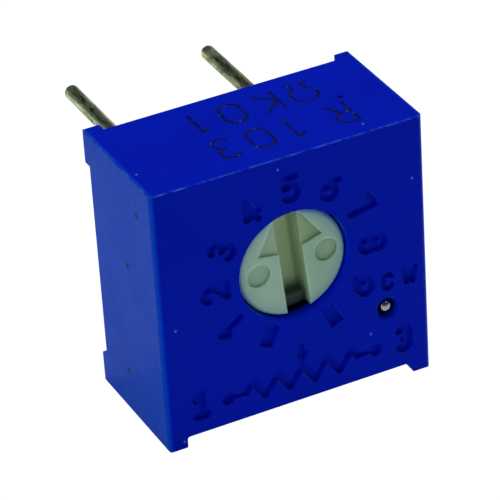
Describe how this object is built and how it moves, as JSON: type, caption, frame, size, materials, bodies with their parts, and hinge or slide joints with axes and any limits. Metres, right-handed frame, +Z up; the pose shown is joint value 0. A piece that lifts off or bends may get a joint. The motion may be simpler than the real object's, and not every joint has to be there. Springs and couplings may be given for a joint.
{
  "type": "trimmer potentiometer",
  "caption": "Small square sealed trimmer potentiometer with a slotted round rotor in one face, a numbered dial and straight round pins out of its back.",
  "frame": {"origin": "where the rotor's axis meets the adjustment face of the body", "axes": "+Y runs from the adjustment face back through the body and along the pins, +Z is up with the part standing on its two foot rails, +X is to the right as seen from the adjustment face"},
  "size_m": [0.0096, 0.0112, 0.0095],
  "materials": {
    "blue_case": "satin",
    "rotor_plastic": "satin",
    "seal_rubber": "matte",
    "spring_metal": "satin",
    "white_ceramic": "matte",
    "dark_cermet": "satin",
    "silver_print": "satin",
    "tinned_wire": "satin",
    "solder": "satin",
    "potting_resin": "gloss",
    "ball_steel": "polished"
  },
  "bodies": {
    "case": {"housing": "blue_case", "vent_ball": "ball_steel", "substrate": "white_ceramic", "resistive_track": "dark_cermet", "end_conductor_1": "silver_print", "end_conductor_3": "silver_print", "collector": "silver_print", "pin_1": "tinned_wire", "pin_2": "tinned_wire", "pin_3": "tinned_wire", "solder_1": "solder", "solder_2": "solder", "solder_3": "solder", "back_potting": "potting_resin"},
    "turning_group": {"rotor": "rotor_plastic", "rotor_seal": "seal_rubber", "wiper": "spring_metal"}
  },
  "joints": [
    {"name": "rotor_turn", "type": "hinge", "parent": "case", "child": "turning_group", "pos_m": [0, 0, 0], "axis": [0, 1, 0], "range_deg": [-150, 160]}
  ]
}
